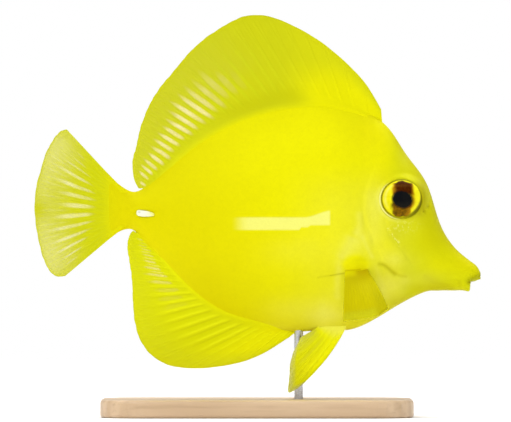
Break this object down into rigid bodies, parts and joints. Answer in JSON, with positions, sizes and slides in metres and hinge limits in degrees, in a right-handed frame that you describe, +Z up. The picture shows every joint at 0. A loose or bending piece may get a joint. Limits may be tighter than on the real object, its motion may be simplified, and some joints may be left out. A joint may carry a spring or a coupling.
{
  "type": "yellow tang",
  "caption": "Still life-size model of a yellow tang: deep, thin disc body, long pointed snout, tall dorsal and anal fins, held level on a small display stand.",
  "frame": {"origin": "on the floor, under the middle of the model", "axes": "+X towards the snout, +Y to the fish's left, +Z up"},
  "size_m": [0.12, 0.05, 0.108],
  "materials": {
    "skin": "lemon yellow skin, satin",
    "fin": "greenish yellow fin membrane over rays",
    "eye": "wet gloss, black pupil in a yellow and brown ring",
    "tail_spine": "white, smooth",
    "stand_base": "pale maple, satin",
    "stand_rod": "brushed"
  },
  "bodies": {
    "root": {"head": "skin", "gill_cover_right": "skin", "gill_cover_left": "skin", "torso": "skin", "tail_peduncle": "skin", "dorsal_fin": "fin", "anal_fin": "fin", "caudal_fin": "fin", "pectoral_fin_right": "fin", "pectoral_fin_left": "fin", "pelvic_fin_right": "fin", "pelvic_fin_left": "fin", "eye_right": "eye", "eye_left": "eye", "tail_spine_right": "tail_spine", "tail_spine_left": "tail_spine", "stand_base": "stand_base", "stand_rod": "stand_rod"}
  },
  "joints": []
}
